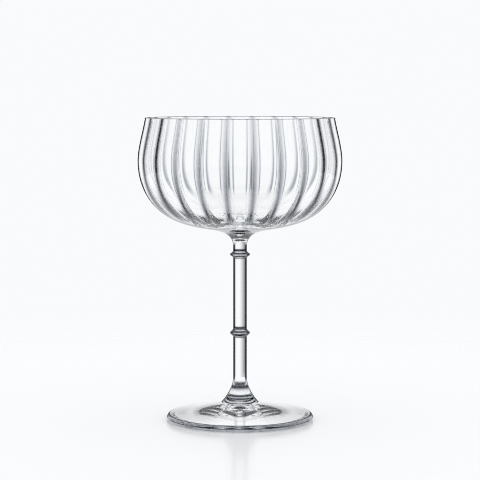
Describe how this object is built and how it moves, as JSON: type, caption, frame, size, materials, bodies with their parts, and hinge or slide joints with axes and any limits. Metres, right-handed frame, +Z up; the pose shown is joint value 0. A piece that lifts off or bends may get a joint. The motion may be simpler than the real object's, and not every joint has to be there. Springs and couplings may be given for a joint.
{
  "type": "cocktail glass",
  "caption": "Stemmed cocktail glass: a wide coupe bowl with vertical optic ribs on a slim stem with ring knops and a conical foot, for drinks served without ice.",
  "frame": {"origin": "middle of the flat ring that the foot stands on, on the glass's axis", "axes": "+Z up the axis from the table to the rim; a panel between two ribs faces each of +X, -X, +Y and -Y"},
  "size_m": [0.1006, 0.1006, 0.15],
  "materials": {
    "clear_glass": "clear, colourless, fire-polished"
  },
  "bodies": {
    "root": {"bowl": "clear_glass", "neck": "clear_glass", "upper_ring": "clear_glass", "upper_stem": "clear_glass", "lower_ring": "clear_glass", "lower_stem": "clear_glass", "foot": "clear_glass"}
  },
  "joints": []
}
